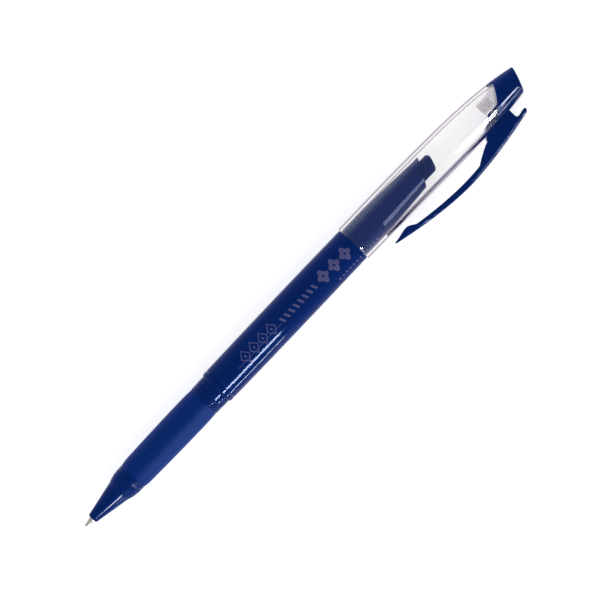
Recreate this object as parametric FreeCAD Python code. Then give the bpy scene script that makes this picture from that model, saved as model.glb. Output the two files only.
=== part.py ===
import FreeCAD, Part
import math
import os

# A capped gel pen, lying flat with its cap posted on the rear end of the barrel.
# The pen's axis is X. The nib points to -X, the clip stands out to -Y, and Z is up.
# All sizes are in millimetres. Solids are drawn about the axis with the nib at x = 0,
# with "height" h measured from the axis towards the clip, and moved to the origin last.

# Refill
BALL_R = 0.35
BALL_SHOW = 0.14           # how far the ball stands out of its seat
BALL_PLAY = 0.02
NIB_TIP_R = 0.42
NIB_SHANK_R = 1.08
NIB_CONE_LENGTH = 2.6
NIB_LENGTH = 9.0
NIB_BORE_R = 0.5
NIB_SEAT_LENGTH = 0.5
SPRING_WIRE_R = 0.09
SPRING_PITCH = 0.42
SPRING_TURNS = 8
HOLDER_FRONT_X = 5.6
HOLDER_FRONT_R = 1.55
HOLDER_R = 1.9
HOLDER_CONE_LENGTH = 3.4
HOLDER_LENGTH = 13.5       # up to the flange that the tube butts against
HOLDER_FLANGE = 0.8
HOLDER_PLUG_LENGTH = 5.5
HOLDER_BORE_R = 0.9
TUBE_R = 2.8
TUBE_WALL = 0.5
REFILL_LENGTH = 124.0
FOLLOWER_LENGTH = 5.0
TUBE_EMPTY = 12.0          # behind the follower

# Nose cone
NIB_REACH = 2.84           # how far the nib stands out of the nose
NIB_PLAY = 0.07
HOLDER_PLAY = 0.15
NOSE_LIP = 0.3             # wall round the nib at the nose face
NOSE_CONE_LENGTH = 10.0
NOSE_WALL = 0.33
NOSE_FLARE_LENGTH = 3.2
NOSE_COLLAR_LENGTH = 1.3
NOSE_SOCKET_DEPTH = 2.5

# Front section and grip
TUBE_PLAY = 0.2
CORE_WALL = 0.8
SPIGOT_WALL = 0.4
RING_LENGTH = 0.9
GRIP_LENGTH = 27.5
GRIP_FRONT_WALL = 0.4
GRIP_LEAD_WALL = 0.63
GRIP_LEAD_LENGTH = 2.5
GRIP_FULL_WALL = 0.88
GRIP_FULL_SHARE = 0.82     # where the grip is fullest, along its length
GRIP_END_WALL = 0.8
GRIP_SET_BACK = 0.02       # the grip stands this much under the collar
COLLAR_LENGTH = 4.4
BEAD_LENGTH = 0.75
BEAD_COUNT = 3
BEAD_HEIGHT = 0.16
FLANGE_RISE = 0.9
FLANGE_LENGTH = 1.0
EDGE = 0.12                # small break on moulded edges

# Screw joint between section and barrel
THREAD_PITCH = 1.0
THREAD_LENGTH = 6.0
THREAD_DEPTH = 0.3
THREAD_ROOT_WIDTH = 0.6
THREAD_CREST_WIDTH = 0.25
THREAD_PLAY = 0.1
SCREW_SPIGOT_WALL = 0.7
SCREW_SPIGOT_LENGTH = 7.6
SCREW_FACE_GAP = 0.05

# Barrel
SHOULDER_STEP = 0.4        # barrel over collar, the stop for the closed cap
BARREL_BELLY = 0.13
BARREL_BACK_RISE = 0.04
BARREL_BELLY_SHARE = 0.54
REAR_STRAIGHT = 9.0
REAR_TAPER_LENGTH = 17.3
REAR_END_WALL = 0.6
REAR_SLANT = 30.0          # degrees, rear rim to a square cut
PLUG_SPIGOT_LENGTH = 5.1   # to the slanted rim, on the axis
PLUG_GAP = 0.4             # between refill and plug
PLUG_STEP = 0.55
PLUG_REACH = 4.1           # past the rim, on the axis
PLUG_SLANT = 20.0
PLUG_ROUND = 1.1
PLUG_VENT_R = 0.4

# Cap
CAP_CLEARANCE = 0.05       # bore over the collar, cap closed
POST_CLEARANCE = 0.07      # bore over the rear end, cap posted
CAP_RIM_GAP = 0.05
CAP_WALL = 0.85
CAP_BORE_DEPTH = 12.0
CAP_BELLY_RISE = 0.1
CAP_BELLY_AT = 25.0        # rim to where the cap is fullest
CAP_NARROWING = 2.45       # from the belly to the top
CAP_NARROWING_POWER = 3.2
CAP_SAG = 1.35             # how far the top's centre leans to the clip
CAP_STATIONS = 15
CAP_END_SLANT = 21.0
CAP_END_TRIM = 0.75        # top face to the full length, on the axis
CROWN_LENGTH = 8.6         # seam to the top, on the axis
TIP_ROOM = 1.7             # closed cap: nib to seal
SEAM_TOP_BACK = 1.45       # seam on the axis to its top corner
SEAM_TOP_H = -2.25
SEAM_WEDGE = 2.4
SEAM_LOW_AHEAD = 6.1       # seam on the axis to its low end
SEAM_LOW_PAST = 0.5
TONGUE_TOP_H = 2.1
TONGUE_REACH = 5.2         # seam on the axis to the tongue's front, at its top
TONGUE_LEAN = 1.36         # how far it runs forward for each millimetre down
RIB_WIDTH = 1.5
RIB_GROOVE = 0.45
RIB_DEPTH = 0.35
SEAL_R = 2.6
SEAL_THICKNESS = 2.1       # along the axis
CUP_R = 1.85
CUP_WALL = 0.5
CUP_LENGTH = 3.6

# Clip
CLIP_WIDTH = 4.4
CLIP_GAP = 0.15            # root to cap
CLIP_LENGTH = 49.6
CLIP_PAST_SEAM = 3.0       # the prong's end behind the seam
CLIP_TIP_RISE = 2.6        # tip over the cap's rim
CLIP_BOW_BACK = 24.3       # prong's end to the top of the bow
CLIP_BOW_RISE = 6.4
CLIP_END_FALL = 2.86
CLIP_BOW_POWER = 1.7
CLIP_ARM = 1.77            # thickness at the bow
CLIP_THINNING = 0.25       # share lost at the tip
CLIP_BEAD_BACK = 4.8       # tip to bead
CLIP_BEAD_RISE = 1.48      # underside of the bead over the rim
CLIP_BEAD_REACH = 2.1
CLIP_LEAD = 2.8            # bead to the start of the pointed tip
CLIP_LEAD_RISE = 0.79
CLIP_ROOT_LENGTH = 9.8
CLIP_ROOT_RISE = 1.3
CLIP_THROAT_LENGTH = 4.8   # where the arm thickens towards the root
CLIP_THROAT_DROP = 0.25
NOTCH_AHEAD = 0.4          # seam to the bottom of the notch
NOTCH_ROUND = 0.8
PRONG_THICKNESS = 1.3
HINGE_AHEAD = 2.05         # seam to the root's bending line
HINGE_RISE = 0.7
KNUCKLE_R = 1.6
KNUCKLE_PLAY = 0.1

# Sizes that follow
holder_back = HOLDER_FRONT_X + HOLDER_LENGTH
tube_front = holder_back + HOLDER_FLANGE
tube_bore = TUBE_R - TUBE_WALL
ink_front = tube_front + HOLDER_PLUG_LENGTH
follower_back = REFILL_LENGTH - TUBE_EMPTY
follower_front = follower_back - FOLLOWER_LENGTH
section_bore = TUBE_R + TUBE_PLAY
core_r = section_bore + CORE_WALL
ring_r = core_r + GRIP_FRONT_WALL
grip_full_r = core_r + GRIP_FULL_WALL
collar_r = grip_full_r + GRIP_SET_BACK
barrel_r = collar_r + SHOULDER_STEP
nose_face = NIB_REACH
nose_cone_r = section_bore + NOSE_WALL
nose_bore = NIB_SHANK_R + NIB_PLAY
nose_back = nose_face + NOSE_CONE_LENGTH + NOSE_FLARE_LENGTH + NOSE_COLLAR_LENGTH
grip_front = nose_back + RING_LENGTH
grip_back = grip_front + GRIP_LENGTH
flange_front = grip_back + COLLAR_LENGTH
flange_back = flange_front + FLANGE_RISE + FLANGE_LENGTH
barrel_front = flange_back + SCREW_FACE_GAP
screw_core = section_bore + SCREW_SPIGOT_WALL
thread_start = (SCREW_SPIGOT_LENGTH - THREAD_LENGTH) / 2
barrel_bore = screw_core + THREAD_PLAY
cap_bore = collar_r + CAP_CLEARANCE
rear_r = cap_bore - POST_CLEARANCE
plug_front = REFILL_LENGTH + PLUG_GAP
plug_r = section_bore
rear_end_r = plug_r + REAR_END_WALL
rim_x = plug_front + PLUG_SPIGOT_LENGTH
taper_x = rim_x - REAR_TAPER_LENGTH
barrel_back = taper_x - REAR_STRAIGHT
cap_x = barrel_back + CAP_RIM_GAP
cap_rim_r = cap_bore + CAP_WALL
closed_depth = flange_front + FLANGE_RISE / 2
seam_at = closed_depth + TIP_ROOM + SEAL_THICKNESS
cap_length = seam_at + CROWN_LENGTH
clip_end_at = seam_at + CLIP_PAST_SEAM
clip_tip_at = clip_end_at - CLIP_LENGTH
clip_bow_at = clip_end_at - CLIP_BOW_BACK
clip_bead_at = clip_tip_at + CLIP_BEAD_BACK
notch_at = seam_at - NOTCH_AHEAD
clip_root_at = notch_at - CLIP_ROOT_LENGTH
clip_throat_at = clip_root_at - CLIP_THROAT_LENGTH
hinge_at = seam_at - HINGE_AHEAD
hinge_h = cap_rim_r + HINGE_RISE


def point(x, h):
    """A point in the plane of the clip: x along the pen, h towards the clip."""
    return FreeCAD.Vector(x, -h, 0)


class Outline:
    """A closed outline in the plane of the clip, drawn stretch by stretch."""

    def __init__(self, x, h):
        self.start = point(x, h)
        self.at = self.start
        self.edges = []

    def to(self, *corners):
        for x, h in corners:
            self.edges.append(Part.makeLine(self.at, point(x, h)))
            self.at = point(x, h)
        return self

    def through(self, *stops):
        curve = Part.BSplineCurve()
        curve.interpolate([self.at] + [point(x, h) for x, h in stops])
        self.edges.append(curve.toShape())
        self.at = point(*stops[-1])
        return self

    def bulge(self, middle, end):
        self.edges.append(Part.Arc(self.at, point(*middle), point(*end)).toShape())
        self.at = point(*end)
        return self

    def face(self):
        if self.at.distanceToPoint(self.start) > 1e-6:
            self.edges.append(Part.makeLine(self.at, self.start))
        return Part.Face(Part.Wire(self.edges))

    def turned(self):
        """The solid that the outline sweeps round the pen's axis."""
        return self.face().revolve(FreeCAD.Vector(), FreeCAD.Vector(1, 0, 0), 360)

    def slab(self, width):
        """The outline as a plate of this width, centred on the plane."""
        face = self.face()
        face.translate(FreeCAD.Vector(0, 0, -width / 2))
        return face.extrude(FreeCAD.Vector(0, 0, width))


def rod(x0, x1, radius):
    return Part.makeCylinder(radius, x1 - x0, FreeCAD.Vector(x0, 0, 0), FreeCAD.Vector(1, 0, 0))


def cross_rod(x, h, radius, width):
    base = point(x, h) - FreeCAD.Vector(0, 0, width / 2)
    return Part.makeCylinder(radius, width, base)


def helical_ridge(x, length, root, crest, root_width, crest_width):
    """A trapezoid ridge wound round the pen's axis."""
    section = [(root, -root_width), (crest, -crest_width), (crest, crest_width), (root, root_width)]
    corners = [FreeCAD.Vector(r, 0, w / 2) for r, w in section]
    profile = Part.makePolygon(corners + corners[:1])
    helix = Part.makeHelix(THREAD_PITCH, length, root)
    ridge = Part.Wire(helix).makePipeShell([profile], True, True)
    ridge.rotate(FreeCAD.Vector(), FreeCAD.Vector(0, 1, 0), 90)
    ridge.translate(FreeCAD.Vector(x, 0, 0))
    return ridge


# ---- Refill ----

def make_ball():
    return Part.makeSphere(BALL_R, FreeCAD.Vector(BALL_R, 0, 0))


def make_nib():
    seat_x = BALL_SHOW + NIB_SEAT_LENGTH
    seat_r = BALL_R + BALL_PLAY
    body = Outline(BALL_SHOW, 0)
    body.to((BALL_SHOW, NIB_TIP_R), (NIB_CONE_LENGTH, NIB_SHANK_R))
    body.to((NIB_LENGTH, NIB_SHANK_R), (NIB_LENGTH, 0))
    seat = Part.makeSphere(seat_r, FreeCAD.Vector(BALL_R, 0, 0))
    throat = rod(BALL_R, seat_x + BALL_R, BALL_R / 2)
    bore = rod(seat_x + BALL_R, NIB_LENGTH, NIB_BORE_R)
    return body.turned().cut(seat.fuse([throat, bore]))


def make_ball_spring():
    coil_r = NIB_BORE_R - SPRING_WIRE_R - BALL_PLAY
    length = SPRING_PITCH * SPRING_TURNS
    helix = Part.makeHelix(SPRING_PITCH, length, coil_r)
    ring = Part.makeCircle(SPRING_WIRE_R, FreeCAD.Vector(coil_r, 0, 0), FreeCAD.Vector(0, 1, 0))
    spring = Part.Wire(helix).makePipeShell([Part.Wire(ring)], True, True)
    spring.rotate(FreeCAD.Vector(), FreeCAD.Vector(0, 1, 0), 90)
    spring.translate(FreeCAD.Vector(BALL_SHOW + NIB_SEAT_LENGTH + BALL_R + 2 * SPRING_WIRE_R, 0, 0))
    return spring


def make_tip_holder():
    cone_x = HOLDER_FRONT_X + HOLDER_CONE_LENGTH
    body = Outline(HOLDER_FRONT_X, NIB_SHANK_R)
    body.to((HOLDER_FRONT_X, HOLDER_FRONT_R), (cone_x, HOLDER_R), (holder_back, HOLDER_R))
    body.to((holder_back, TUBE_R), (tube_front, TUBE_R), (tube_front, tube_bore), (ink_front, tube_bore))
    body.to((ink_front, HOLDER_BORE_R), (NIB_LENGTH, HOLDER_BORE_R), (NIB_LENGTH, NIB_SHANK_R))
    return body.turned()


def make_ink_tube():
    return rod(tube_front, REFILL_LENGTH, TUBE_R).cut(rod(tube_front, REFILL_LENGTH, tube_bore))


def make_gel_ink():
    return rod(ink_front, follower_front, tube_bore)


def make_follower():
    return rod(follower_front, follower_back, tube_bore)


# ---- Front section ----

def make_nose_cone():
    cone_x = nose_face + NOSE_CONE_LENGTH
    collar_x = cone_x + NOSE_FLARE_LENGTH
    face_r = nose_bore + NOSE_LIP
    collar = ring_r - EDGE
    socket_x = nose_back - NOSE_SOCKET_DEPTH
    flare = collar - nose_cone_r
    skin = Outline(nose_face, nose_bore)
    skin.to((nose_face, face_r - EDGE), (nose_face + EDGE, face_r))
    skin.to((cone_x, nose_cone_r))
    skin.through(*[(cone_x + NOSE_FLARE_LENGTH * share, nose_cone_r + flare * math.sin(math.pi / 2 * share))
                   for share in (0.25, 0.5, 0.75, 1)])
    skin.bulge(((collar_x + nose_back) / 2, ring_r), (nose_back, collar))
    shoulder_x = HOLDER_FRONT_X - SCREW_FACE_GAP
    socket_r = section_bore + SPIGOT_WALL
    skin.to((nose_back, socket_r), (socket_x, socket_r), (socket_x, section_bore - SPIGOT_WALL))
    skin.to((HOLDER_FRONT_X + HOLDER_CONE_LENGTH, HOLDER_R + HOLDER_PLAY))
    skin.to((shoulder_x, HOLDER_FRONT_R + HOLDER_PLAY), (shoulder_x, nose_bore))
    return skin.turned()


def collar_beads(outline):
    """Round beads next to the grip, then the plain collar."""
    for number in range(BEAD_COUNT):
        x = grip_back + number * BEAD_LENGTH
        low = collar_r - BEAD_HEIGHT
        outline.bulge((x + BEAD_LENGTH / 2, collar_r), (x + BEAD_LENGTH, low))


def make_front_section():
    spigot_x = nose_back - NOSE_SOCKET_DEPTH
    spigot_r = section_bore + SPIGOT_WALL
    low = collar_r - BEAD_HEIGHT
    screw_end = flange_back + SCREW_SPIGOT_LENGTH
    body = Outline(spigot_x, section_bore)
    body.to((spigot_x, spigot_r), (nose_back, spigot_r), (nose_back, ring_r - EDGE))
    body.bulge((nose_back + RING_LENGTH / 2, ring_r), (grip_front, ring_r - EDGE))
    body.to((grip_front, core_r), (grip_back, core_r), (grip_back, low))
    collar_beads(body)
    bead_end = grip_back + BEAD_COUNT * BEAD_LENGTH
    body.to((bead_end + EDGE, collar_r), (flange_front - EDGE, collar_r), (flange_front, collar_r - EDGE))
    middle = (flange_front + FLANGE_RISE * 0.5, collar_r + SHOULDER_STEP * 0.65)
    body.to((flange_front + EDGE, collar_r)).through(middle, (flange_front + FLANGE_RISE, barrel_r))
    body.to((flange_back - EDGE, barrel_r), (flange_back, barrel_r - EDGE), (flange_back, screw_core))
    body.to((screw_end, screw_core), (screw_end, section_bore))
    thread = helical_ridge(flange_back + thread_start, THREAD_LENGTH,
                           screw_core - EDGE / 2, screw_core + THREAD_DEPTH,
                           THREAD_ROOT_WIDTH, THREAD_CREST_WIDTH)
    return body.turned().fuse(thread)


def make_grip_sleeve():
    """Swells in a quarter of a wave to its fullest place, then falls off a little."""
    lead_x = grip_front + GRIP_LEAD_LENGTH
    full_x = grip_front + GRIP_LENGTH * GRIP_FULL_SHARE
    lead_r = core_r + GRIP_LEAD_WALL
    end_r = core_r + GRIP_END_WALL - EDGE
    sleeve = Outline(grip_front, core_r).to((grip_front, ring_r - EDGE), (lead_x, lead_r))
    for share in (0.25, 0.5, 0.75, 1):
        swell = math.sin(math.pi / 2 * share)
        sleeve.to((lead_x + (full_x - lead_x) * share, lead_r + (grip_full_r - lead_r) * swell))
    for share in (0.5, 1):
        sleeve.to((full_x + (grip_back - full_x) * share, grip_full_r - (grip_full_r - end_r) * share ** 2))
    return sleeve.to((grip_back, core_r)).turned()


# ---- Barrel ----

def rear_cutter(x, slant):
    """Everything behind a plane that crosses the axis at x and leans forward at the clip side."""
    reach = 4 * cap_rim_r
    lean = reach * math.tan(math.radians(slant))
    cutter = Outline(x + lean, -reach)
    cutter.to((x - lean, reach), (x + 2 * cap_length, reach), (x + 2 * cap_length, -reach))
    return cutter.slab(2 * reach)


def make_barrel():
    """Its groove starts a whole number of turns ahead of the section's ridge, so that they mate."""
    belly_x = barrel_front + (barrel_back - barrel_front) * BARREL_BELLY_SHARE
    back_r = barrel_r + BARREL_BACK_RISE
    body = Outline(barrel_front, barrel_bore)
    body.to((barrel_front, barrel_r - EDGE), (barrel_front + EDGE, barrel_r))
    body.through((belly_x, barrel_r + BARREL_BELLY), (barrel_back - EDGE, back_r))
    body.to((barrel_back, back_r - EDGE), (barrel_back, rear_r), (taper_x, rear_r))
    body.through((taper_x + REAR_TAPER_LENGTH * 0.5, (rear_r + rear_end_r) / 2), (rim_x, rear_end_r))
    tail_x = rim_x + 2 * rear_r
    body.to((tail_x, rear_end_r), (tail_x, plug_r), (plug_front, plug_r))
    body.to((taper_x, barrel_bore - EDGE), (barrel_back, barrel_bore))
    hollow = body.turned().cut(rear_cutter(rim_x, REAR_SLANT))
    groove_x = flange_back - THREAD_PITCH + thread_start % THREAD_PITCH
    groove = helical_ridge(groove_x, THREAD_LENGTH + 2 * THREAD_PITCH,
                           screw_core, screw_core + THREAD_DEPTH + THREAD_PLAY,
                           THREAD_ROOT_WIDTH + 2 * THREAD_PLAY, THREAD_CREST_WIDTH + 2 * THREAD_PLAY)
    return hollow.cut(groove)


def make_end_plug():
    dome_r = plug_r - PLUG_STEP
    spigot = rod(plug_front, rim_x + 2 * plug_r, plug_r).cut(rear_cutter(rim_x, REAR_SLANT))
    dome = rod(plug_front, rim_x + 2 * PLUG_REACH, dome_r).cut(rear_cutter(rim_x + PLUG_REACH, PLUG_SLANT))
    end = [edge for edge in dome.Edges if edge.BoundBox.XMin > rim_x]
    plug = spigot.fuse(dome.makeFillet(PLUG_ROUND, end))
    return plug.cut(rod(plug_front, rim_x + 2 * PLUG_REACH, PLUG_VENT_R))


# ---- Cap ----

def cap_section(at, grow):
    """Place, radius and lean of the cap's round section, this far from the rim."""
    radius = cap_rim_r + CAP_BELLY_RISE + grow
    if at < CAP_BELLY_AT:
        radius -= CAP_BELLY_RISE * (1 - at / CAP_BELLY_AT) ** 2
    else:
        share = (at - CAP_BELLY_AT) / (cap_length - CAP_BELLY_AT)
        radius -= CAP_NARROWING * share ** CAP_NARROWING_POWER
    return cap_x + at, radius, CAP_SAG * (at / cap_length) ** 2


def cap_form(grow=0.0, start=0.0):
    """The cap's outer form, grown or shrunk, from this far behind the rim to past the top."""
    step = (cap_length - start) / CAP_STATIONS
    rings = []
    for number in range(CAP_STATIONS + 1):
        x, radius, lean = cap_section(start + number * step, grow)
        rings.append(Part.Wire(Part.makeCircle(radius, point(x, lean), FreeCAD.Vector(1, 0, 0))))
    return Part.makeLoft(rings, True)


def cap_cavity(shrink=0.0):
    bore = rod(cap_x - CAP_RIM_GAP, cap_x + CAP_BORE_DEPTH, cap_bore)
    return bore.fuse(cap_form(-CAP_WALL - shrink, CAP_BORE_DEPTH - EDGE))


def behind_seam(ahead=0.0):
    """Everything on the crown's side of the slanted, slightly curved seam."""
    top = SEAM_TOP_H - SEAM_WEDGE
    reach = 3 * cap_rim_r
    middle_x = cap_x + seam_at - ahead
    corner_x = middle_x + SEAM_TOP_BACK
    low_x = middle_x - SEAM_LOW_AHEAD
    side = Outline(corner_x - SEAM_WEDGE, top)
    side.to((corner_x, SEAM_TOP_H))
    side.through((middle_x, 0), (low_x, cap_rim_r + SEAM_LOW_PAST))
    side.to((low_x - EDGE, reach), (cap_x + 2 * cap_length, reach), (cap_x + 2 * cap_length, -reach))
    side.to((corner_x - SEAM_WEDGE, -reach))
    return side.slab(2 * reach)


def make_cap_shell():
    return cap_form().cut(behind_seam()).cut(cap_cavity())


def tongue_front(x):
    """A front line of the tongue or of one of its grooves, x at the tongue's top."""
    reach = cap_rim_r
    return [(x, TONGUE_TOP_H), (x - TONGUE_LEAN * reach, TONGUE_TOP_H + reach)]


def make_tongue():
    front = cap_x + seam_at - TONGUE_REACH
    line = tongue_front(front)
    body = Outline(*line[0])
    body.to(line[1], (cap_x + cap_length, line[1][1]), (cap_x + cap_length, TONGUE_TOP_H))
    tongue = body.slab(2 * cap_rim_r).common(cap_cavity()).cut(behind_seam())
    for number in (1, 2):
        x = front + number * (RIB_WIDTH + RIB_GROOVE)
        near, far = tongue_front(x - RIB_GROOVE), tongue_front(x)
        groove = Outline(*near[0]).to(near[1], far[1], far[0]).slab(2 * cap_rim_r)
        tongue = tongue.cut(groove.cut(cap_cavity(RIB_DEPTH)))
    return tongue


def make_cap_crown():
    end = rear_cutter(cap_x + cap_length - CAP_END_TRIM, CAP_END_SLANT)
    crown = cap_form().common(behind_seam()).cut(end).fuse(make_tongue())
    seat = cross_rod(cap_x + hinge_at, hinge_h, KNUCKLE_R + KNUCKLE_PLAY, CLIP_WIDTH + 2 * KNUCKLE_PLAY)
    return crown.cut(seat)


def make_tip_seal():
    face_x = cap_x + seam_at
    pad = rod(cap_x + CAP_BELLY_AT, cap_x + cap_length, SEAL_R).common(behind_seam(SEAL_THICKNESS))
    cup_x = face_x - SEAL_THICKNESS - CUP_LENGTH
    cup = rod(cup_x, face_x, CUP_R)
    hole = rod(cup_x, face_x - SEAL_THICKNESS + EDGE, CUP_R - CUP_WALL)
    return pad.fuse(cup).cut(hole).common(cap_cavity()).cut(behind_seam()).cut(make_tongue())


# ---- Clip ----

def bow_share(at):
    """0 at the top of the bow, 1 at the tip and at the prong's end."""
    if at < clip_bow_at:
        return (clip_bow_at - at) / (clip_bow_at - clip_tip_at)
    return (at - clip_bow_at) / (clip_end_at - clip_bow_at)


def arm_back(at):
    """The clip's outer edge, this far behind the rim."""
    fall = CLIP_BOW_RISE - CLIP_TIP_RISE if at < clip_bow_at else CLIP_END_FALL
    return cap_rim_r + CLIP_BOW_RISE - fall * bow_share(at) ** CLIP_BOW_POWER


def arm_underside(at):
    thinning = CLIP_THINNING * bow_share(at) if at < clip_bow_at else 0
    return arm_back(at) - CLIP_ARM * (1 - thinning)


def along(height, start, end, steps=6):
    """Points of an edge of the clip whose height is a formula."""
    stops = [start + (end - start) * number / steps for number in range(1, steps + 1)]
    return [(cap_x + at, height(at)) for at in stops]


def make_clip():
    bead_h = cap_rim_r + CLIP_BEAD_RISE
    prong_end = clip_end_at - PRONG_THICKNESS / 2
    prong_low = arm_back(clip_end_at) - PRONG_THICKNESS
    notch_x = cap_x + notch_at
    notch_top = arm_back(notch_at + NOTCH_ROUND) - PRONG_THICKNESS
    root_x = cap_x + clip_root_at
    root_h = cap_rim_r + CLIP_ROOT_RISE
    clip = Outline(cap_x + clip_tip_at, arm_back(clip_tip_at))
    clip.through(*along(arm_back, clip_tip_at, clip_bow_at)).through(*along(arm_back, clip_bow_at, prong_end))
    clip.bulge((cap_x + clip_end_at, prong_low + PRONG_THICKNESS / 2), (cap_x + prong_end, prong_low))
    clip.to((notch_x + NOTCH_ROUND, notch_top))
    clip.bulge((notch_x, notch_top - NOTCH_ROUND), (notch_x + NOTCH_ROUND / 4, notch_top - 2 * NOTCH_ROUND))
    clip.to((notch_x + NOTCH_ROUND / 4, cap_bore), (root_x, cap_bore), (root_x, root_h))
    clip.to((cap_x + clip_throat_at, arm_underside(clip_throat_at) - CLIP_THROAT_DROP))
    clip.through(*along(arm_underside, clip_throat_at - 2 * CLIP_THROAT_DROP, clip_bead_at + CLIP_BEAD_REACH))
    clip.bulge((cap_x + clip_bead_at, bead_h), (cap_x + clip_bead_at - CLIP_LEAD, bead_h + CLIP_LEAD_RISE))
    knuckle = cross_rod(cap_x + hinge_at, hinge_h, KNUCKLE_R, CLIP_WIDTH)
    return clip.slab(CLIP_WIDTH).cut(cap_form(CLIP_GAP)).fuse(knuckle)


MAKERS = {
    "barrel": make_barrel,
    "end_plug": make_end_plug,
    "front_section": make_front_section,
    "grip_sleeve": make_grip_sleeve,
    "nose_cone": make_nose_cone,
    "ink_tube": make_ink_tube,
    "gel_ink": make_gel_ink,
    "follower": make_follower,
    "tip_holder": make_tip_holder,
    "nib": make_nib,
    "ball": make_ball,
    "ball_spring": make_ball_spring,
    "cap_shell": make_cap_shell,
    "cap_crown": make_cap_crown,
    "tip_seal": make_tip_seal,
    "clip": make_clip,
}


def main():
    os.makedirs("parts", exist_ok=True)
    solids = {name: make() for name, make in MAKERS.items()}
    box = Part.makeCompound(list(solids.values())).optimalBoundingBox(False, False)
    origin = FreeCAD.Vector(-box.Center.x, -box.Center.y, -box.ZMin)
    for name, solid in solids.items():
        solid.translate(origin)
        solid.exportStep(f"parts/{name}.step")
        print(f"{name:14} {len(solid.Solids)} solid  {solid.Volume:9.2f} mm3  valid {solid.isValid()}")
    print("size", round(box.XLength, 2), round(box.YLength, 2), round(box.ZLength, 2), "moved", origin)


main()
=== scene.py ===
# %% [markdown]
# # A capped gel pen
# This lesson dresses a gel pen that lies on a table with its cap pushed onto the rear end.
# The solid model comes first. It arrives packed, with every piece in its place, and it stays
# as it is. We keep the pieces whose form is already right, and give them a finish. The pieces
# that need soft edges or a better skin are built again in mesh code, in the same place.

# %% Load the packed pen
import math

import bmesh
import bpy
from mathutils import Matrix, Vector


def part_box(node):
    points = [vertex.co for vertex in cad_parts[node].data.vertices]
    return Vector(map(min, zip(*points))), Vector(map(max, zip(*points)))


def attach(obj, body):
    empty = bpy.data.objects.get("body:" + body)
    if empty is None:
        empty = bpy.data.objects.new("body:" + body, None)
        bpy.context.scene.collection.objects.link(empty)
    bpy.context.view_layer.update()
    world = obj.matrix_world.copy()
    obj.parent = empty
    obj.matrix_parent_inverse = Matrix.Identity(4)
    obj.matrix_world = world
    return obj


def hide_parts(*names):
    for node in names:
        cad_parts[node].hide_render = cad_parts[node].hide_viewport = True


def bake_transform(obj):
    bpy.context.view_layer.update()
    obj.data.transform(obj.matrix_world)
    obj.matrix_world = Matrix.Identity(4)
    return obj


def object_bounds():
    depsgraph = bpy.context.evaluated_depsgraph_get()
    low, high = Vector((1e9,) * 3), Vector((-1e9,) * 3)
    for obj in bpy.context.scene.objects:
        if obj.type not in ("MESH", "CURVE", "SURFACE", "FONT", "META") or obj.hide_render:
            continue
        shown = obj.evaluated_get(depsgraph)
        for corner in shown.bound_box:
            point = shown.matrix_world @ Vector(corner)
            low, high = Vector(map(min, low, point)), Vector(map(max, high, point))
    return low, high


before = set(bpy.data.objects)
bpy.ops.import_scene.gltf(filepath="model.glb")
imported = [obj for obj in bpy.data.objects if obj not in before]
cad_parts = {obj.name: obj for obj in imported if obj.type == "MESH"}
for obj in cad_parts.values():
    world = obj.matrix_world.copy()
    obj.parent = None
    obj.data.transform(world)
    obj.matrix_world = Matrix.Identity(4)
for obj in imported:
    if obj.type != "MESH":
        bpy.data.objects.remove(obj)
cad_low, cad_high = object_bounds()
size_mm = [round(side * 1000, 1) for side in cad_high - cad_low]
print("pieces in the frame:", len(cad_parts), "size in mm:", size_mm)

# %% [markdown]
# ## Measuring along the pen
# A pen maker measures from the writing point, so we do too. The ball marks the point, and the
# barrel marks the line through the middle of the pen. From those two, `spot` turns three
# workshop sizes into a place: x along the pen, h across it towards the clip, and z upwards.

# %% A place on the pen
MM = 0.001
point_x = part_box("ball")[0].x
barrel_low, barrel_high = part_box("barrel")
axis_y = (barrel_low.y + barrel_high.y) / 2
axis_z = (barrel_low.z + barrel_high.z) / 2


def spot(x, h, z=0.0):
    """The place x mm behind the point, h mm towards the clip and z mm above the middle line."""
    return Vector((point_x + x * MM, axis_y - h * MM, axis_z + z * MM))


def behind_point(node, end):
    """How far behind the point a node starts (end 0) or stops (end 1), in mm."""
    return (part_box(node)[end].x - point_x) / MM


cap_x = behind_point("cap_shell", 0)
cap_length = behind_point("cap_crown", 1) - cap_x
print("cap starts at", round(cap_x, 2), "and is", round(cap_length, 2), "mm long")

# %% [markdown]
# ## Sums on a surface
# A finish is a small network of nodes. Wiring it by hand is slow to read, so we wrap a socket
# in a class that knows its sums. Then `1 - mask` or `grain * 0.2` adds the Math node by itself.
# The reflected forms, such as `__rsub__`, serve the sums that start with a plain number.

# %% Values that can be summed
def join(tree, place, item):
    if isinstance(item, Value):
        tree.links.new(item.socket, place)
    else:
        place.default_value = item


class Value:
    """A socket's output that Python sums turn into Math nodes."""

    def __init__(self, tree, socket):
        self.tree = tree
        self.socket = socket

    def sum(self, operation, first, second):
        node = self.tree.nodes.new("ShaderNodeMath")
        node.operation = operation
        join(self.tree, node.inputs[0], first)
        join(self.tree, node.inputs[1], second)
        return Value(self.tree, node.outputs[0])

    def __add__(self, other):
        return self.sum("ADD", self, other)

    def __radd__(self, other):
        return self.sum("ADD", other, self)

    def __sub__(self, other):
        return self.sum("SUBTRACT", self, other)

    def __rsub__(self, other):
        return self.sum("SUBTRACT", other, self)

    def __mul__(self, other):
        return self.sum("MULTIPLY", self, other)

    def __rmul__(self, other):
        return self.sum("MULTIPLY", other, self)

    def __truediv__(self, other):
        return self.sum("DIVIDE", self, other)

    def __rtruediv__(self, other):
        return self.sum("DIVIDE", other, self)


print("sums ready:", [name for name in vars(Value) if name.startswith("__r")])

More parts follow.
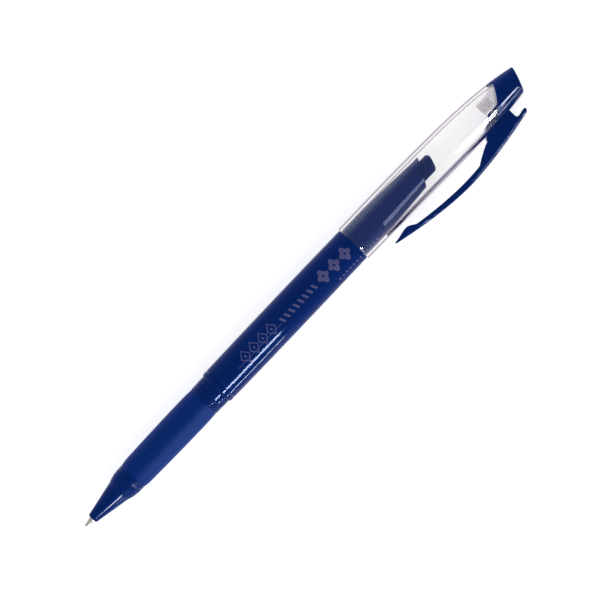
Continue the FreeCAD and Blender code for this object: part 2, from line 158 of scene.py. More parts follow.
# %% [markdown]
# ## A finish and its nodes
# Every finish starts from one shader that can be plastic, rubber, metal or clear. One method
# adds any other node: its settings go in first, because they decide which sockets it has, and
# then the values or links. `grain` is noise in millimetres, so a size in the code is a size on
# the pen, and `relief` turns such a pattern into fine unevenness of the skin.

# %% Finishes
class Finish:
    """A material that is put together node by node."""

    def __init__(self, name, **constants):
        self.material = bpy.data.materials.new(name)
        self.material.use_nodes = True
        self.tree = self.material.node_tree
        self.shader = self.tree.nodes["Principled BSDF"]
        self.feed({key.replace("_", " "): value for key, value in constants.items()})

    def feed(self, sockets):
        for name, item in sockets.items():
            join(self.tree, self.shader.inputs[name], item)
        return self

    def node(self, kind, settings, sockets, out=0):
        made = self.tree.nodes.new(kind)
        for name, value in settings.items():
            setattr(made, name, value)
        for name, item in sockets.items():
            join(self.tree, made.inputs[name], item)
        return Value(self.tree, made.outputs[out])

    def place(self):
        return self.node("ShaderNodeTexCoord", {}, {}, "Object")

    def grain(self, size_mm, detail=2.0, stretch=None):
        """Noise from 0 to 1 whose lumps are about this many millimetres across."""
        where = self.place()
        if stretch:
            where = self.node("ShaderNodeVectorMath", {"operation": "MULTIPLY"}, {0: where, 1: stretch})
        sockets = {"Vector": where, "Scale": 1 / (size_mm * MM), "Detail": detail}
        return self.node("ShaderNodeTexNoise", {}, sockets)

    def mix(self, share, low, high):
        sockets = {0: share, 6: (*low, 1) if isinstance(low, tuple) else low}
        sockets[7] = (*high, 1) if isinstance(high, tuple) else high
        return self.node("ShaderNodeMix", {"data_type": "RGBA"}, sockets, 2)

    def relief(self, height, depth_mm, strength=1.0):
        sockets = {"Height": height, "Distance": depth_mm * MM, "Strength": strength}
        return self.node("ShaderNodeBump", {}, sockets)


print("finish maker ready")

# %% [markdown]
# ## Glossy navy plastic
# The barrel, the nose, the crown and the clip are moulded in the same dark blue polystyrene.
# A mould leaves a skin that is glossy but never perfect: the colour drifts a little along the
# flow, fine scuffs dull it in places, and the surface has a very low orange-peel wave. The
# reflection of this plastic is weak and bluish when seen square on, and that is set on the
# shader itself, because it is the same all over.

# %% Navy plastic
NAVY_DEEP = (0.0015, 0.0185, 0.138)
NAVY_LIGHT = (0.0020, 0.0225, 0.162)


def navy_finish(name, gloss=0.018):
    finish = Finish(name, IOR=1.46, Specular_IOR_Level=0.075, Specular_Tint=(0.62, 0.72, 1.0, 1))
    flow = finish.grain(9.0, 3.0, (0.25, 1.0, 1.0))
    scuffs = finish.grain(0.6, 6.0)
    finish.feed({
        "Base Color": finish.mix(flow, NAVY_DEEP, NAVY_LIGHT),
        "Roughness": gloss + scuffs * 0.03,
        "Normal": finish.relief(finish.grain(2.2, 1.0), 0.002, 0.3),
    })
    return finish


navy = navy_finish("navy_plastic_gloss")
print("made", navy.material.name)

# %% [markdown]
# ## The printed barrel
# The barrel carries a pad print in pale lilac: outlined diamonds, slanting ticks and three fat
# four-lobed marks, with a thin rule and a row of dots beside them. A print is ink a few
# thousandths of a millimetre thick, so it is colour and gloss and not shape. We unroll the
# barrel: one coordinate runs along it and the other round it, both in millimetres. Every mark
# is then a distance that is below nought inside the mark, and `stamp` turns that distance into
# a clean edge.

# %% Marks from distances
class Print:
    """Flat marks on the unrolled barrel, added up into one mask."""

    def __init__(self, finish, radius_mm):
        axes = finish.node("ShaderNodeSeparateXYZ", {}, {0: finish.place()})
        across = Value(axes.tree, axes.socket.node.outputs[1])
        up = Value(axes.tree, axes.socket.node.outputs[2])
        angle = axes.sum("ARCTAN2", axis_y - across, up - axis_z)
        self.finish = finish
        self.along = (axes - point_x) / MM
        self.round = angle * radius_mm
        self.mask = None

    def op(self, operation, first, second=0.0):
        return self.along.sum(operation, first, second)

    def stamp(self, distance, soft=0.05):
        sockets = {"Value": distance, "From Min": -soft, "From Max": soft, "To Min": 1.0, "To Max": 0.0}
        ink = self.finish.node("ShaderNodeMapRange", {"interpolation_type": "SMOOTHSTEP"}, sockets)
        self.mask = ink if self.mask is None else self.op("MAXIMUM", self.mask, ink)

    def window(self, start, end, distance):
        """The distance, but only between two places along the barrel."""
        beyond = self.op("ABSOLUTE", self.along - (start + end) / 2) - (end - start) / 2
        return self.op("MAXIMUM", beyond, distance)

    def cell(self, start, pitch):
        """How far along from the middle of the nearest mark in a row."""
        return self.op("FLOORED_MODULO", self.along - start, pitch) - pitch / 2

    def height(self, middle):
        return self.op("ABSOLUTE", self.round - middle)


print("print tools ready")

# %% Barrel finish
PRINT_INK = (0.105, 0.108, 0.270)
PRINT_RADIUS = 5.2
DIAMONDS = (60.4, 73.6)
TICKS = (74.9, 88.6)
LOBES = (89.4, 101.7)
RULE = (58.4, 75.0)
DOTS = (93.5, 109.1)

barrel_finish = navy_finish("navy_plastic_printed")
marks = Print(barrel_finish, PRINT_RADIUS)

diamond = marks.op("ABSOLUTE", marks.cell(DIAMONDS[0], 3.3)) * 1.25 + marks.height(-0.2) * 0.95 - 1.75
marks.stamp(marks.window(*DIAMONDS, marks.op("ABSOLUTE", diamond) - 0.2))
marks.stamp(marks.window(*DIAMONDS, diamond + 1.3))

tick = marks.op("ABSOLUTE", marks.cell(TICKS[0], 1.72) - (marks.round - 0.3) * 0.35) - 0.36
marks.stamp(marks.window(*TICKS, marks.op("MAXIMUM", tick, marks.height(0.3) - 0.85)))

petal_x = marks.cell(LOBES[0], 4.1)
petal_h = marks.round - 0.1
petal_turn = marks.op("COSINE", marks.op("ARCTAN2", petal_h, petal_x) * 4)
petal_r = marks.op("POWER", petal_x * petal_x + petal_h * petal_h * 0.78, 0.5)
lobed = petal_r - (1.52 + petal_turn * 0.30)
marks.stamp(marks.window(*LOBES, marks.op("MAXIMUM", lobed, 0.32 - petal_r)))

marks.stamp(marks.window(*RULE, marks.height(0.75) - 0.08), 0.04)
dot_x = marks.cell(DOTS[0], 1.3)
dot_h = marks.height(4.35)
dots = marks.op("POWER", dot_x * dot_x + dot_h * dot_h, 0.5)
marks.stamp(marks.window(*DOTS, dots - 0.34))

worn = barrel_finish.grain(0.35, 4.0)
ink_cover = marks.mask * (0.72 + worn * 0.4)
plain = barrel_finish.shader.inputs["Base Color"].links[0].from_socket
printed = barrel_finish.mix(ink_cover, Value(barrel_finish.tree, plain), PRINT_INK)
barrel_finish.feed({"Base Color": printed, "Roughness": 0.018 + worn * 0.03 + marks.mask * 0.16})
print("print reaches from", RULE[0], "to", DOTS[1], "mm behind the point")

# %% [markdown]
# ## Rubber, metal and the refill's materials
# The grip is soft rubber with a fine matt grain that scatters light into a broad sheen. The nib
# is turned metal, so its marks run in rings round it. Inside lie a natural plastic tube, dark
# gel ink and a pale grease that follows the ink. They hardly show while the pen is shut, but
# they come into view when the section is unscrewed, so each gets its own finish.

# %% Grip rubber
def simple_finish(name, dark, light, roughness, lump_mm, depth_mm, **constants):
    """A finish with colour drift, uneven gloss and a fine relief of one grain size."""
    finish = Finish(name, **constants)
    lumps = finish.grain(lump_mm, 4.0)
    finish.feed({
        "Base Color": finish.mix(finish.grain(lump_mm * 12, 2.0), dark, light),
        "Roughness": roughness + lumps * 0.12,
        "Normal": finish.relief(lumps, depth_mm, 0.6),
    })
    return finish


rubber = simple_finish("grip_rubber_matt", (0.0027, 0.0250, 0.180), (0.0034, 0.0290, 0.205),
                       0.40, 0.12, 0.012, IOR=1.5, Specular_IOR_Level=0.07,
                       Specular_Tint=(0.35, 0.50, 1.0, 1))
print("made", rubber.material.name)

# %% Turned metal
def turned_finish(name, tone, ring_mm, roughness):
    """Metal with rings left by the lathe, square to the pen."""
    finish = Finish(name, Metallic=1.0)
    rings = finish.grain(ring_mm, 3.0, (1.0, 0.05, 0.05))
    dark = tuple(part * 0.82 for part in tone)
    finish.feed({
        "Base Color": finish.mix(finish.grain(1.5), dark, tone),
        "Roughness": roughness + rings * 0.10,
        "Normal": finish.relief(rings, 0.004, 0.35),
    })
    return finish


nib_metal = turned_finish("nib_metal_turned", (0.74, 0.71, 0.68), 0.12, 0.16)
carbide = turned_finish("ball_carbide_ground", (0.42, 0.42, 0.44), 0.05, 0.10)
steel = turned_finish("spring_steel_drawn", (0.58, 0.57, 0.56), 0.08, 0.18)
print("made", nib_metal.material.name, carbide.material.name, steel.material.name)

# %% Plastics and fillings inside
tube_plastic = simple_finish("tube_plastic_natural", (0.72, 0.74, 0.74), (0.82, 0.83, 0.82),
                             0.30, 0.8, 0.006, Transmission_Weight=0.55, IOR=1.49)
holder_plastic = simple_finish("holder_plastic_white", (0.62, 0.64, 0.66), (0.74, 0.75, 0.76),
                               0.32, 0.5, 0.006, IOR=1.49)
gel_ink = simple_finish("gel_ink_blue", (0.002, 0.006, 0.07), (0.003, 0.012, 0.12),
                        0.12, 1.2, 0.004, IOR=1.38)
grease = simple_finish("follower_grease_clear", (0.62, 0.56, 0.42), (0.74, 0.68, 0.52),
                       0.16, 1.0, 0.010, Transmission_Weight=0.7, IOR=1.46)
seal_rubber = simple_finish("seal_rubber_soft", (0.66, 0.58, 0.62), (0.84, 0.77, 0.79),
                            0.36, 0.7, 0.020, IOR=1.42, Alpha=0.26)
print("made five finishes for the inside")

# %% [markdown]
# ## Clear plastic
# The cap is clear polystyrene. Light really bends in it, and the bent light draws part of the
# dark lines along its walls, so it is a solid with an inside and an outside, and not a pale film.
# The rest of those dark lines is painted shade: the colour turns a dark purple-grey where a wall
# is seen edge-on. The roughness carries faint handling scuffs. The index is set lower than that
# of real polystyrene, which keeps a haze of reflected light off the barrel inside.

# %% Clear plastic
clear = Finish("clear_plastic_bright", Transmission_Weight=1.0, IOR=1.33, Specular_IOR_Level=0.12)
scuff = clear.grain(0.5, 6.0, (0.3, 1.0, 1.0))
# Painted shade: where a wall is seen edge-on, the base colour is mixed towards a dark purple-grey, which
# draws dark lines along the cap's walls.
facing = clear.node("ShaderNodeLayerWeight", {}, {"Blend": 0.5}, "Facing")
edge = clear.node("ShaderNodeMapRange", {"interpolation_type": "SMOOTHSTEP"},
                  {"Value": facing, "From Min": 0.45, "From Max": 0.62, "To Min": 0.0, "To Max": 1.0})
body_tone = clear.mix(clear.grain(14.0), (0.935, 0.925, 0.928), (0.952, 0.944, 0.944))
clear.feed({
    "Base Color": clear.mix(edge, body_tone, (0.12, 0.09, 0.13)),
    "Roughness": scuff * scuff * scuff * 0.006,
    "Normal": clear.relief(clear.grain(6.0, 1.0), 0.003, 0.2),
})
print("made", clear.material.name)

# %% [markdown]
# ## Skins from rings
# Most of a pen is round, or nearly round, along one line. The plainest way to build such a
# piece well is to lay rings of points one after the other and join them with four-sided faces.
# A ring may be a circle, a leaning circle or a rounded oblong, so the same helper serves the
# grip, the cap, its crown and the clip. Edges sharper than the given angle stay crisp.

# %% Skin helper
def skin(name, rings, finish, joined=False, crisp=38.0):
    """A closed skin over rings of points: end faces filled, or the last ring joined to the first."""
    shape = bmesh.new()
    loops = [[shape.verts.new(place) for place in ring] for ring in rings]
    pairs = list(zip(loops, loops[1:]))
    if joined:
        pairs.append((loops[-1], loops[0]))
    else:
        shape.faces.new(loops[0])
        shape.faces.new(loops[-1])
    for near, far in pairs:
        for n in range(len(near)):
            m = (n + 1) % len(near)
            shape.faces.new((near[n], near[m], far[m], far[n]))
    bmesh.ops.recalc_face_normals(shape, faces=shape.faces)
    for face in shape.faces:
        face.smooth = True
    mesh = bpy.data.meshes.new(name)
    shape.to_mesh(mesh)
    shape.free()
    mesh.set_sharp_from_angle(angle=math.radians(crisp))
    mesh.materials.append(finish.material)
    piece = bpy.data.objects.new(name, mesh)
    bpy.context.scene.collection.objects.link(piece)
    print(name, len(mesh.polygons), "faces")
    return piece


def circle(x, radius, lean=0.0, count=128):
    turns = [2 * math.pi * n / count for n in range(count)]
    return [spot(x, lean + radius * math.cos(a), radius * math.sin(a)) for a in turns]


# %% [markdown]
# ## The grip
# The grip is a rubber sleeve that swells gently towards the back and is drawn in at its end.
# Its skin rises in a quarter wave to the fullest place, which gives one long soft highlight.
# Both ends are rounded over, as moulded rubber is, and the sleeve is closed on the inside.

# %% Grip sleeve
grip_start, grip_end = behind_point("grip_sleeve", 0), behind_point("grip_sleeve", 1)
grip_low, grip_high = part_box("grip_sleeve")
grip_full_r = (grip_high.z - grip_low.z) / 2 / MM
GRIP_CORE_R = 3.805
GRIP_FRONT_R = 4.07
GRIP_LEAD = 2.5
GRIP_LEAD_R = 4.43
GRIP_FULL_AT = grip_start + (grip_end - grip_start) * 0.82
GRIP_END_R = 4.50
LIP = 0.18


def grip_radius(x):
    if x < grip_start + GRIP_LEAD:
        share = (x - grip_start) / GRIP_LEAD
        return GRIP_FRONT_R + (GRIP_LEAD_R - GRIP_FRONT_R) * math.sin(math.pi / 2 * share)
    if x < GRIP_FULL_AT:
        share = (x - grip_start - GRIP_LEAD) / (GRIP_FULL_AT - grip_start - GRIP_LEAD)
        return GRIP_LEAD_R + (grip_full_r - GRIP_LEAD_R) * math.sin(math.pi / 2 * share)
    share = (x - GRIP_FULL_AT) / (grip_end - GRIP_FULL_AT)
    return grip_full_r - (grip_full_r - GRIP_END_R) * share ** 2


def rounded_ends(start, end, radius_at, inner_r, lip, steps):
    """Circles of a sleeve: over the front lip, along the skin, over the back lip, home inside."""
    turns = [math.pi / 2 * n / 5 for n in range(6)]
    front_r, back_r = radius_at(start + lip), radius_at(end - lip)
    rings = []
    for turn in reversed(turns):
        rings.append(circle(start + lip * (1 - math.sin(turn)), front_r - lip * (1 - math.cos(turn))))
    for n in range(1, steps):
        x = start + lip + (end - start - 2 * lip) * n / steps
        rings.append(circle(x, radius_at(x)))
    for turn in turns:
        rings.append(circle(end - lip * (1 - math.sin(turn)), back_r - lip * (1 - math.cos(turn))))
    return rings + [circle(end, inner_r), circle(start, inner_r)]


grip = skin("grip_rubber_sleeve", rounded_ends(grip_start, grip_end, grip_radius, GRIP_CORE_R, LIP, 60),
            rubber, joined=True)
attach(grip, "section")
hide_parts("grip_sleeve")

# %% [markdown]
# ## The form of the cap
# The cap is round, but it narrows towards its top and leans to the clip side as it does. Two
# plain formulas describe that. A slanted, slightly bent seam parts the clear shell from the
# blue crown, and a slanted cut ends the crown. To follow them we need, for each direction round
# the cap, the place where the skin meets the cut. A few rounds of trying and correcting find
# it, since the cap narrows slowly.

# %% Cap formulas
CAP_RIM_R = 5.6
CAP_BELLY_R = 5.7
CAP_BELLY_AT = 25.0
CAP_NARROWING = 2.45
CAP_WALL = 0.85
CAP_BORE_R = 4.80
CAP_LEAN = 1.35
SEAM_AT = cap_length - 8.6
SEAM_CORNER_H = -2.25
END_AT = cap_length - 0.75
END_SLOPE = math.tan(math.radians(21))
SEAM_GAP = 0.03
COLUMNS = 160


def cap_radius(at):
    if at < CAP_BELLY_AT:
        return CAP_BELLY_R - (CAP_BELLY_R - CAP_RIM_R) * (1 - at / CAP_BELLY_AT) ** 2
    return CAP_BELLY_R - CAP_NARROWING * ((at - CAP_BELLY_AT) / (cap_length - CAP_BELLY_AT)) ** 3.2


def cap_lean(at):
    return CAP_LEAN * (at / cap_length) ** 2


def seam(h):
    """Where the seam runs at this height: a bend through three places, with a corner near the top."""
    if h < SEAM_CORNER_H:
        return seam(SEAM_CORNER_H) + (h - SEAM_CORNER_H)
    return SEAM_AT - 0.728 * h - 0.0372 * h * h


def end_cut(h):
    return END_AT - END_SLOPE * h


def meeting(cut, angle, inset=0.0):
    """Where the cap's skin, this far inside the outer one, meets a cut: (at, h, z) in mm."""
    at = SEAM_AT
    for _ in range(24):
        radius = cap_radius(at) - inset
        h = cap_lean(at) + radius * math.cos(angle)
        at = 0.5 * at + 0.5 * cut(h)
    return at, h, radius * math.sin(angle)


ANGLES = [2 * math.pi * n / COLUMNS for n in range(COLUMNS)]
seam_ends = [round(meeting(seam, angle)[0], 1) for angle in (0.0, math.pi)]
print("seam runs from", seam_ends[0], "to", seam_ends[1], "mm behind the rim")

# %% [markdown]
# ## The clear shell
# The shell is one closed skin: along the outside, over the rounded rim and back along the bore.
# Its back end follows the seam. A hair of air is left between shell and crown, so that the two
# never share a face, which would look blotchy in clear plastic. For the same reason the bore is
# drawn 0.05 mm wider than the solid one, clear of the barrel. The shell casts no shadow and stays
# out of reflections and bounced light, because light that is both let through and bent by the
# shell would be counted twice, and would come out as bright specks.

# %% Clear shell
RIM_ROUND = 0.22


def skin_row(share, start, cut, inset_at):
    """One ring of the cap's skin, between a place near the rim and a cut."""
    ring = []
    for angle in ANGLES:
        back = meeting(cut, angle, inset_at(cap_length))[0] - SEAM_GAP
        at = start + (back - start) * share
        radius = cap_radius(at) - inset_at(at)
        ring.append(spot(cap_x + at, cap_lean(at) + radius * math.cos(angle), radius * math.sin(angle)))
    return ring


def bore_inset(at):
    """The bore is straight where it holds the pen, and follows the outside further in."""
    blend = min(1.0, max(0.0, (at - 10.0) / 6.0))
    straight = cap_radius(at) - CAP_BORE_R
    return straight + (CAP_WALL - straight) * blend * blend * (3 - 2 * blend)


rows = 64
shell_rings = [skin_row(n / rows, RIM_ROUND, seam, bore_inset) for n in range(rows, -1, -1)]
rim_middle = (CAP_RIM_R + CAP_BORE_R) / 2
rim_half = (CAP_RIM_R - CAP_BORE_R) / 2 - RIM_ROUND
for side, order in ((-1, (1, 2, 3, 4, 5)), (1, (5, 4, 3, 2, 1))):
    for n in order:
        turn = math.pi / 2 * n / 5
        radius = rim_middle + side * rim_half + side * RIM_ROUND * math.cos(turn)
        shell_rings.append(circle(cap_x + RIM_ROUND * (1 - math.sin(turn)), radius, count=COLUMNS))
shell_rings += [skin_row(n / rows, RIM_ROUND, seam, lambda at: 0.0) for n in range(rows + 1)]
shell = skin("clear_cap_shell", shell_rings, clear, joined=True)
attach(shell, "cap")
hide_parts("cap_shell")
shell.visible_shadow = False
shell.visible_diffuse = False
shell.visible_glossy = False

# %% [markdown]
# ## Crown and clip in one moulding
# On the real cap the crown and the clip are moulded as one piece, and the clip springs open
# because the plastic bends at its root. So both are one mesh here. The crown runs from the seam
# face, over its skin and a rounded edge, to the slanted end face. Every column of points does that
# journey for its own direction.

# %% Crown
END_ROUND = 0.26


def crown_column(angle):
    """Points of one column of the crown: seam face, skin, rounded edge, end face, in (x, h, z) mm."""
    seam_at, seam_h, seam_z = meeting(seam, angle)
    last_at, last_h, last_z = meeting(end_cut, angle)
    middle_h = cap_lean(SEAM_AT)
    column = []
    for share in (0.03, 0.3, 0.55, 0.8, 0.97, 1.0):
        h = middle_h + share * (seam_h - middle_h)
        column.append(Vector((seam(h), h, share * seam_z)))
    edge = Vector((last_at, last_h, last_z))
    steps = 26
    skin_line = []
    for n in range(1, steps + 1):
        at = seam_at + (last_at - seam_at) * n / steps
        radius = cap_radius(at)
        skin_line.append(Vector((at, cap_lean(at) + radius * math.cos(angle), radius * math.sin(angle))))
    back_along = (skin_line[-3] - edge).normalized()
    end_middle = Vector((end_cut(cap_lean(END_AT)), cap_lean(END_AT), 0))
    inwards = (end_middle - edge).normalized()
    column += [place for place in skin_line if (place - edge).length > END_ROUND * 1.1]
    for n in range(9):
        turn = math.pi / 2 * n / 8
        back, inward = END_ROUND * (1 - math.sin(turn)), END_ROUND * (1 - math.cos(turn))
        column.append(edge + back_along * back + inwards * inward)
    inner = column[-1]
    return column, [inner.lerp(end_middle, share) for share in (0.3, 0.65, 0.96)]


columns = [crown_column(angle) for angle in ANGLES]
fewest = min(len(body) for body, _ in columns)
crown_columns = []
for body, face in columns:
    spare = len(body) - fewest
    crown_columns.append(body[:8] + body[8 + spare:] + face)
crown_rings = []
for row in zip(*crown_columns):
    crown_rings.append([spot(cap_x + place.x, place.y, place.z) for place in row])
crown = skin("crown_and_clip", crown_rings, navy, crisp=50.0)

# %% [markdown]
# ## The clip's arm
# The clip is a bowed arm with a bead under its tip and a short prong behind its root. We walk
# along it and lay a rounded oblong at every step, between its outer and its inner edge. The
# outer edge is a bow by formula. The inner edge follows it, dips into the bead, drops into the
# crown at the root and rises again round the notch under the prong.

# %% Clip edges
CLIP_WIDTH = 4.4
CLIP_START = 7.79
CLIP_BOW_AT = 33.09
CLIP_END = 57.39
CLIP_TOP_H = 12.0
CLIP_ARM = 1.77
TIP_THICKNESS = 0.45
BEAD_AT = 12.59
BEAD_H = 7.1
ROOT_AT = 44.19
ROOT_H = 6.9
THROAT_AT = 39.39
NOTCH_AT = 53.99
PRONG = 1.3
IN_CROWN_H = 4.4


def clip_outer(at):
    if at < CLIP_BOW_AT:
        return CLIP_TOP_H - 3.8 * ((CLIP_BOW_AT - at) / (CLIP_BOW_AT - CLIP_START)) ** 1.7
    return CLIP_TOP_H - 2.86 * ((at - CLIP_BOW_AT) / (CLIP_END - CLIP_BOW_AT)) ** 1.7


def smooth(start, end, at):
    share = min(1.0, max(0.0, (at - start) / (end - start)))
    return share * share * (3 - 2 * share)


def clip_inner(at):
    """The inner edge: tip, bead, underside, throat, root, notch and prong, one after the other."""
    thin = CLIP_ARM * (1 - 0.25 * max(0.0, (CLIP_BOW_AT - at) / (CLIP_BOW_AT - CLIP_START)))
    under = clip_outer(at) - thin
    if at < BEAD_AT:
        tip_h = clip_outer(CLIP_START) - TIP_THICKNESS
        share = (at - CLIP_START) / (BEAD_AT - CLIP_START)
        return tip_h + (BEAD_H - tip_h) * smooth(0.0, 1.0, share) ** 1.15
    if at < THROAT_AT:
        return BEAD_H + (under - BEAD_H) * smooth(BEAD_AT, BEAD_AT + 3.1, at)
    if at < ROOT_AT:
        throat = clip_outer(THROAT_AT) - CLIP_ARM
        return throat + (ROOT_H - throat) * smooth(THROAT_AT - 3.0, ROOT_AT + 1.0, at)
    if at < NOTCH_AT:
        return ROOT_H + (IN_CROWN_H - ROOT_H) * smooth(ROOT_AT - 1.5, ROOT_AT + 3.4, at)
    low = clip_outer(NOTCH_AT + 0.8) - PRONG
    if at < NOTCH_AT + 0.8:
        across = (at - NOTCH_AT) / 0.8
        return low - 0.8 + 0.8 * math.sqrt(max(0.0, 1 - (1 - across) ** 2))
    return clip_outer(at) - PRONG


print("bow stands", round(CLIP_TOP_H - CAP_BELLY_R, 1), "mm clear of the cap")

# %% Clip sections
INNER_CORNER = 0.40
OUTER_CORNER = 1.05
CORNER_STEPS = 7


def oblong(at, low_h, high_h, width):
    """A rounded oblong across the clip, its outer corners softer than its inner ones."""
    room = (high_h - low_h) * 0.49
    outer, inner = min(OUTER_CORNER, room), min(INNER_CORNER, room)
    ring = []
    for quarter, corner in enumerate((outer, outer, inner, inner)):
        h = high_h - corner if quarter < 2 else low_h + corner
        z = width / 2 - corner if quarter in (0, 3) else corner - width / 2
        for n in range(CORNER_STEPS + 1):
            turn = math.pi / 2 * (quarter + n / CORNER_STEPS)
            ring.append(spot(cap_x + at, h + corner * math.sin(turn), z + corner * math.cos(turn)))
    return ring


def clip_width(at):
    """The arm is narrower at its tip, like a leaf."""
    return CLIP_WIDTH * (0.55 + 0.45 * smooth(CLIP_START - 1.0, CLIP_START + 6.0, at))


stations = [CLIP_START + 0.04, CLIP_START + 0.12]
stations += [CLIP_START + 0.3 + 0.35 * n for n in range(22)]
stations += [stations[-1] + 0.8 * n for n in range(1, 29)]
stations += [at for at in (39.4 + 0.3 * n for n in range(1, 49)) if stations[-1] < at < NOTCH_AT - 0.05]
stations += [NOTCH_AT - 0.03, NOTCH_AT, NOTCH_AT + 0.03, NOTCH_AT + 0.08]
stations += [NOTCH_AT + 0.15 + 0.13 * n for n in range(6)]
stations += [NOTCH_AT + 1.0 + 0.25 * n for n in range(8)]
prong_round = PRONG / 2
clip_rings = []
for at in stations:
    clip_rings.append(oblong(at, clip_inner(at), clip_outer(at), clip_width(at)))
for n in range(9):
    turn = math.pi / 2 * n / 8
    at = CLIP_END - prong_round * (1 - math.sin(turn))
    middle = clip_outer(at) - prong_round
    half = max(0.05, prong_round * math.cos(turn))
    clip_rings.append(oblong(at, middle - half, middle + half, CLIP_WIDTH))
arm = skin("clip_arm", clip_rings, navy, crisp=50.0)
print("clip laid over", len(clip_rings), "oblongs")

# %% [markdown]
# ## The ribs of the tongue
# A tongue of the crown reaches forward inside the clear shell on the clip side, and its ribs
# grip the shell from within. They show through as slanted bars. Each rib is a slanting block
# that widens towards the wall of the bore, built from rounded oblongs stacked away from the
# middle line.

# %% Tongue ribs
TONGUE_TOP_H = 2.1
TONGUE_LEAN = 1.36
TONGUE_FRONT = SEAM_AT - 5.2
RIB_PITCH = 1.95
RIB_WIDTH = 1.5


def rib_ring(h, front, length, top):
    """One rounded oblong of a rib, square to the clip direction."""
    lead = front - TONGUE_LEAN * (h - TONGUE_TOP_H)
    at = lead + length / 2
    reach = cap_radius(at) - CAP_WALL - SEAM_GAP
    across = h - cap_lean(at)
    half = math.sqrt(max(0.04, reach * reach - across * across)) * top
    corner = min(0.3, half * 0.45, length * 0.45)
    ring = []
    for turn in range(28):
        angle = 2 * math.pi * turn / 28
        side, along = math.cos(angle), math.sin(angle)
        z = (half - corner) * max(-1, min(1, side * 3)) + corner * side
        x = (length / 2 - corner) * max(-1, min(1, along * 3)) + corner * along
        ring.append(spot(cap_x + at + x, h, z))
    return ring


ribs = []
for number, length in ((0, RIB_WIDTH), (1, RIB_WIDTH), (2, 1.9)):
    front = TONGUE_FRONT + number * RIB_PITCH
    levels = [(TONGUE_TOP_H + 0.02, 0.86), (TONGUE_TOP_H + 0.12, 0.95), (TONGUE_TOP_H + 0.35, 0.995)]
    levels += [(TONGUE_TOP_H + 0.35 + 0.28 * n, 1.0) for n in range(1, 9)]
    rings = [rib_ring(h, front, length, top) for h, top in levels]
    ribs.append(skin("tongue_rib_%d" % number, rings, navy, crisp=50.0))

# %% [markdown]
# ## Joining the moulding
# The crown, the arm and the ribs become one object, and its mesh is moved into place. Two places
# at the root, on the crown's skin and just above it, are worked out, but nothing uses them.

# %% One moulding
def gather(main, others):
    """Puts the meshes of the others into the main piece."""
    shape = bmesh.new()
    for piece in [main, *others]:
        shape.from_mesh(piece.data)
    shape.to_mesh(main.data)
    shape.free()
    for piece in others:
        bpy.data.objects.remove(piece)
    main.data.set_sharp_from_angle(angle=math.radians(50.0))
    print(main.name, len(main.data.polygons), "faces after joining")


gather(crown, [arm, *ribs])
hinge_x = cap_x + SEAM_AT - 2.05
spot(hinge_x, 5.2)
spot(hinge_x, 6.9)
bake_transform(crown)
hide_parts("cap_crown", "clip")

# %% [markdown]
# ## Finishes for the pieces that stay
# The barrel, its plug, the front section with its beads and thread, the nose cone, the refill
# and the seal are already the right shape, so they only change their clothes.

# %% Dress the solid pieces
dressed = {
    "barrel": barrel_finish, "end_plug": navy, "front_section": navy, "nose_cone": navy,
    "ink_tube": tube_plastic, "gel_ink": gel_ink, "follower": grease, "tip_holder": holder_plastic,
    "nib": nib_metal, "ball": carbide, "ball_spring": steel, "tip_seal": seal_rubber,
}
for name, finish in dressed.items():
    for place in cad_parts[name].material_slots:
        place.material = finish.material
print("dressed", len(dressed), "pieces")

# %% [markdown]
# ## Camera
# The pen is seen from straight above through a long lens, and it lies across the picture from
# lower left to upper right. So the camera looks down and is turned about its own line of sight.

# %% Camera
LENS = 200.0
SENSOR = 36.0
FRAME_WIDTH = 159.0
TURN = -46.48

camera = bpy.data.cameras.new("camera")
camera.lens = LENS
camera.sensor_width = SENSOR
viewer = bpy.data.objects.new("camera", camera)
distance = FRAME_WIDTH * MM * LENS / SENSOR
viewer.location = spot(82.7, -0.02) + Vector((0, 0, distance))
viewer.rotation_euler = (0, 0, math.radians(TURN))
bpy.context.scene.collection.objects.link(viewer)
bpy.context.scene.camera = viewer
bpy.context.scene.view_settings.view_transform = "Standard"
print("camera", round(distance, 3), "m above the pen")

# %% [markdown]
# ## Table and light
# The pen lies on a pale glowing table, such as small goods are lit on. The table gives the even
# ground and brightens the clear cap from below. Round the pen stands a soft tent, bright at its
# sides and dimmer above, which keeps the middle of the round plastic dark. Narrow strips on the
# clip side draw the fine bright lines on the barrel, nose, collar, crown and clip. They light
# only glossy skins. A soft panel brightens the matt grip, and another fills in from behind.

# %% Table
TABLE_HALF = 3.0
table_mesh = bpy.data.meshes.new("table_top")
corners = [(x * TABLE_HALF, y * TABLE_HALF, 0.0) for x, y in ((-1, -1), (1, -1), (1, 1), (-1, 1))]
table_mesh.from_pydata(corners, [], [(0, 1, 2, 3)])
table_top = bpy.data.objects.new("table_top", table_mesh)
bpy.context.scene.collection.objects.link(table_top)
table_finish = Finish("table_pale", Emission_Color=(1.0, 1.0, 1.0, 1), Emission_Strength=0.66,
                      Specular_IOR_Level=0.1)
table_finish.feed({
    "Base Color": table_finish.mix(table_finish.grain(40.0), (0.84, 0.84, 0.845), (0.86, 0.86, 0.86)),
    "Roughness": 0.75 + table_finish.grain(2.0) * 0.1,
})
table_mesh.materials.append(table_finish.material)
print("table laid")

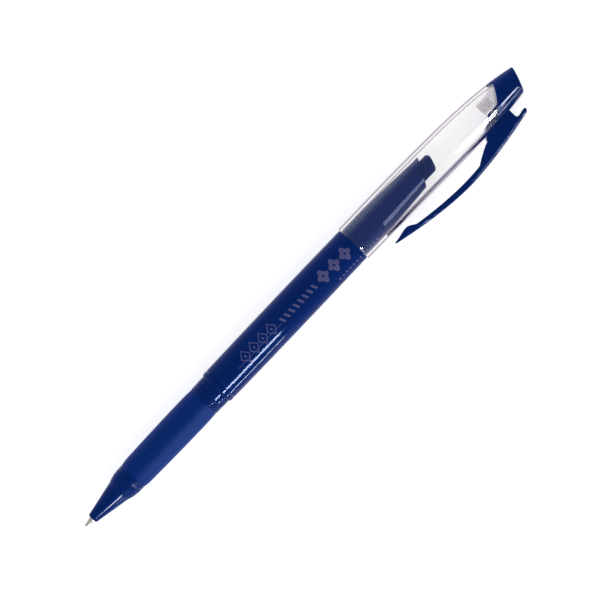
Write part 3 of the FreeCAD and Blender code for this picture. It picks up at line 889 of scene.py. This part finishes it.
# %% Tent
world = bpy.data.worlds.new("tent")
world.use_nodes = True
bpy.context.scene.world = world
sky = world.node_tree
background = sky.nodes["Background"]
direction = sky.nodes.new("ShaderNodeTexCoord").outputs["Generated"]
parts = sky.nodes.new("ShaderNodeSeparateXYZ")
sky.links.new(direction, parts.inputs[0])
height = Value(sky, parts.outputs[2])
opening = sky.nodes.new("ShaderNodeMapRange")
opening.interpolation_type = "SMOOTHSTEP"
fade = {"Value": height, "From Min": 0.40, "From Max": 0.90, "To Min": 0.75, "To Max": 0.36}
for name, item in fade.items():
    join(sky, opening.inputs[name], item)
join(sky, background.inputs["Strength"], Value(sky, opening.outputs[0]))
background.inputs["Color"].default_value = (1.0, 1.0, 1.0, 1)
print("tent set")


# %% Strips and panels
def mirrored(place, turn, lean):
    """The way to the lamp whose highlight the camera sees at this place.

    The skin there is turned by some degrees to the clip side, and leans by some to the rear.
    """
    turn, lean = math.radians(turn), math.radians(lean)
    out = Vector((math.sin(lean), -math.cos(lean) * math.sin(turn), math.cos(lean) * math.cos(turn)))
    sight = (viewer.location - place).normalized()
    return 2 * out.dot(sight) * out - sight


def strip(name, start, end, turn, width, radiance, leans=(0.0, 0.0), reach=0.90, matt=False):
    """A lamp this far off whose reflection runs between two places along the pen."""
    ends = []
    for x, lean in ((start, leans[0]), (end, leans[1])):
        way = mirrored(spot(x, 0), turn, lean)
        ends.append(spot(x, 0) + way * (reach / math.hypot(way.y, way.z)))
    length = abs(ends[1].x - ends[0].x)
    lamp = bpy.data.lights.new(name, "AREA")
    lamp.shape = "RECTANGLE"
    lamp.size, lamp.size_y = length, width
    lamp.energy = math.pi * length * width * radiance
    rig = bpy.data.objects.new(name, lamp)
    rig.location = (ends[0] + ends[1]) / 2
    rig.rotation_euler = (math.atan2(axis_y - rig.location.y, rig.location.z - axis_z), 0, 0)
    rig.visible_camera = False
    rig.visible_diffuse = matt
    bpy.context.scene.collection.objects.link(rig)
    print(name, "is", round(length * 1000), "mm long, at", [round(x * 1000) for x in rig.location])


strip("thick_line", 46.0, 73.5, 25.0, 0.190, 150.0, (0.0, -0.2))
strip("thin_line", 46.0, 73.5, 44.6, 0.085, 110.0, (0.0, -0.2))
strip("nose_thick", 3.4, 12.6, 25.0, 0.235, 160.0, (-10.6, -10.6))
strip("nose_thin", 6.5, 12.6, 44.0, 0.140, 220.0, (-10.6, -10.6))
strip("ring_glint", 15.4, 18.6, 27.0, 0.235, 130.0)
strip("crown_thick", 157.5, 165.0, 27.0, 0.180, 170.0, (4.9, 8.3))
strip("crown_thin", 153.0, 165.0, 44.0, 0.105, 90.0, (3.7, 8.3))
strip("clip_line", 134.0, 164.0, 30.0, 0.450, 30.0, (0.5, 5.0))
strip("grip_panel", 16.0, 46.0, 27.0, 0.24, 4.2, reach=0.17, matt=True)
strip("rear_fill", 104.0, 150.0, -40.0, 0.20, 0.6, reach=0.30, matt=True)

# %% [markdown]
# ## Sizes
# The size of the solid pen is printed when it is loaded. The dressed pen is not measured in this
# script. The dressed pen must be no bigger than the solid one.
